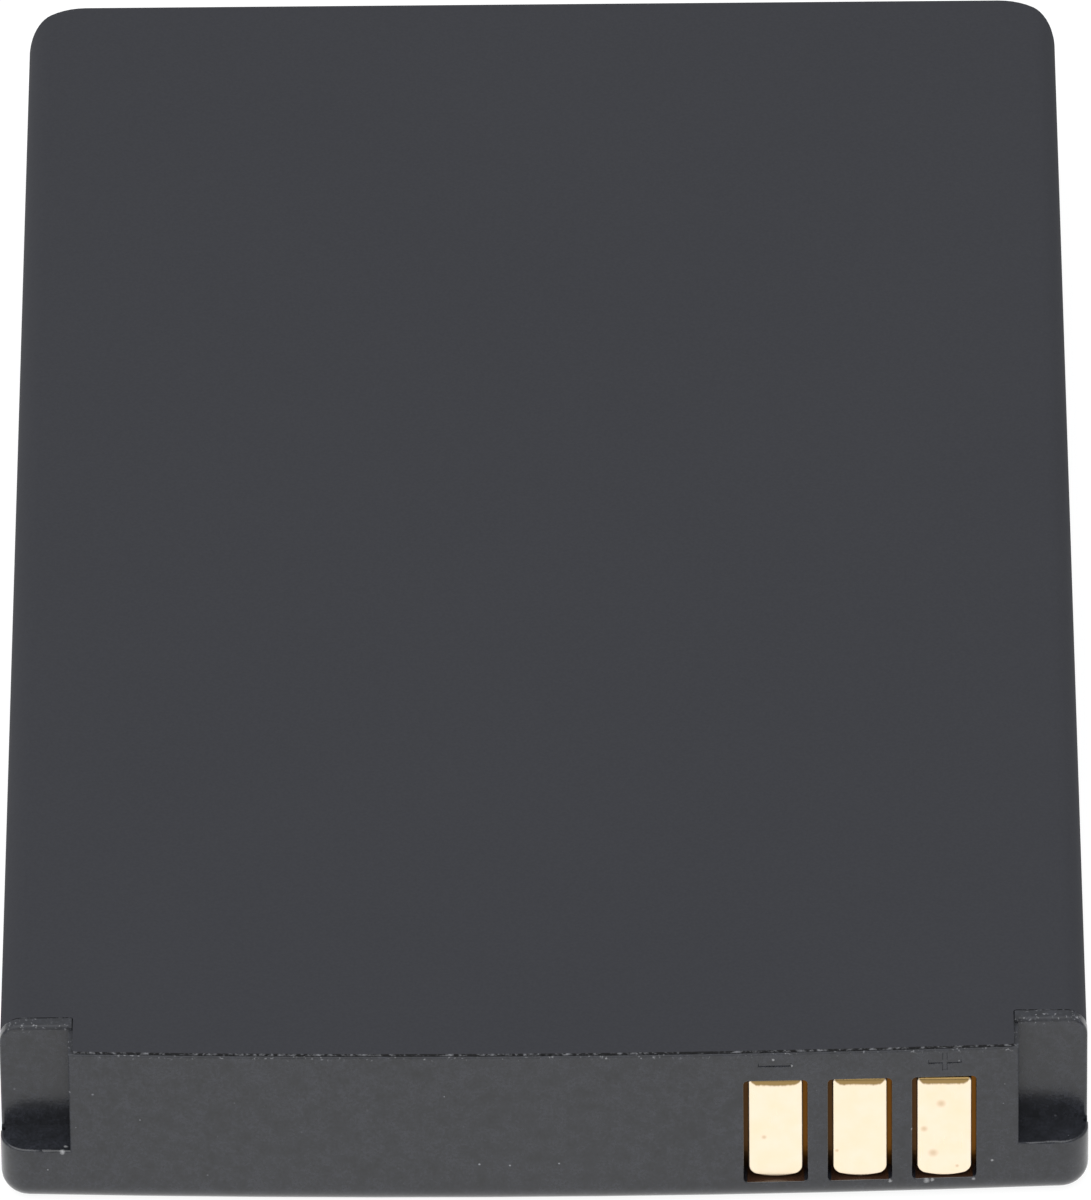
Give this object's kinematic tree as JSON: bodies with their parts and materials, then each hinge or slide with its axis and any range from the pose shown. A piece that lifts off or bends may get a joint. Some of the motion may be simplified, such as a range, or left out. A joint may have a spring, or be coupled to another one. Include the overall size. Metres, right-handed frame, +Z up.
{
  "type": "mobile phone battery",
  "caption": "Flat rectangular rechargeable battery pack for a mobile phone, wrapped in dark film, with recessed gold contacts and corner notches at its end.",
  "frame": {"origin": "middle of the pack's outline, on the plane that it lies on", "axes": "+X across the pack to the contacts' side, +Y away from the contact end, +Z up out of the large face"},
  "size_m": [0.034, 0.057, 0.006],
  "materials": {
    "cap_plastic": "fine grained moulded near-black plastic",
    "label_film": "matt dark grey polyester film",
    "gold_plate": "bright gold plate over nickel",
    "can_aluminium": "drawn satin",
    "gasket_nylon": "natural",
    "nickel": "rolled nickel strip",
    "insulating_paper": "dense grey green paper",
    "cutoff_case": "smooth",
    "board_laminate": "black solder mask over glass laminate",
    "chip_epoxy": "moulded epoxy",
    "chip_ceramic_dark": "fired",
    "chip_ceramic_tan": "fired",
    "tape": "white double-sided tape"
  },
  "bodies": {
    "root": {"contact_end_cap": "cap_plastic", "far_end_cap": "cap_plastic", "label_film": "label_film", "contact_negative": "gold_plate", "contact_sense": "gold_plate", "contact_positive": "gold_plate", "cell_can": "can_aluminium", "terminal_gasket": "gasket_nylon", "terminal_rivet": "nickel", "lid_insulator": "insulating_paper", "weld_plate": "nickel", "thermal_cutoff": "cutoff_case", "cutoff_lead_cell": "nickel", "cutoff_lead_board": "nickel", "positive_tab": "nickel", "protection_board": "board_laminate", "negative_land": "nickel", "positive_land": "nickel", "protection_chip": "chip_epoxy", "switch_transistor": "chip_epoxy", "chip_resistors": "chip_ceramic_dark", "chip_capacitor": "chip_ceramic_tan", "thermistor": "chip_ceramic_dark", "far_end_tape": "tape"}
  },
  "joints": []
}
